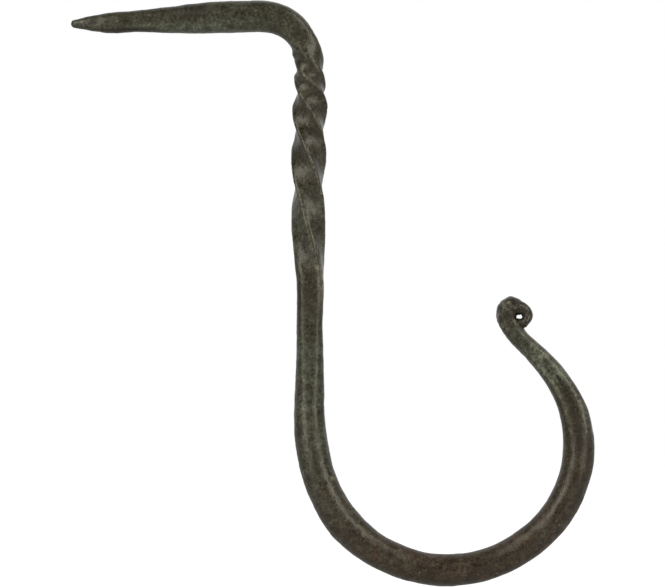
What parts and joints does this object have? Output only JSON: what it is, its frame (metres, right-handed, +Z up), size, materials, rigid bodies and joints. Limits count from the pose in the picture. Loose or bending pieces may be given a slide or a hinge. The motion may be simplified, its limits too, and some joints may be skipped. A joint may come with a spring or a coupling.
{
  "type": "forged drive-in cup hook",
  "caption": "Hand-forged iron hook: a square tapered spike, bent neck, twisted square shank, round open bowl and a drawn-down end rolled into a small curl",
  "frame": {"origin": "on the spike's axis where it crosses the wall plane, the plane x = 0 that the twisted shank touches", "axes": "+X out of the wall, with the spike driven in along -X; +Z up, with the shank and the bowl hanging below; the hook lies in the XZ plane and Y is across it"},
  "size_m": [0.0995, 0.0066, 0.1115],
  "materials": {
    "forged_iron": "satin"
  },
  "bodies": {
    "root": {"hook": "forged_iron"}
  },
  "joints": []
}
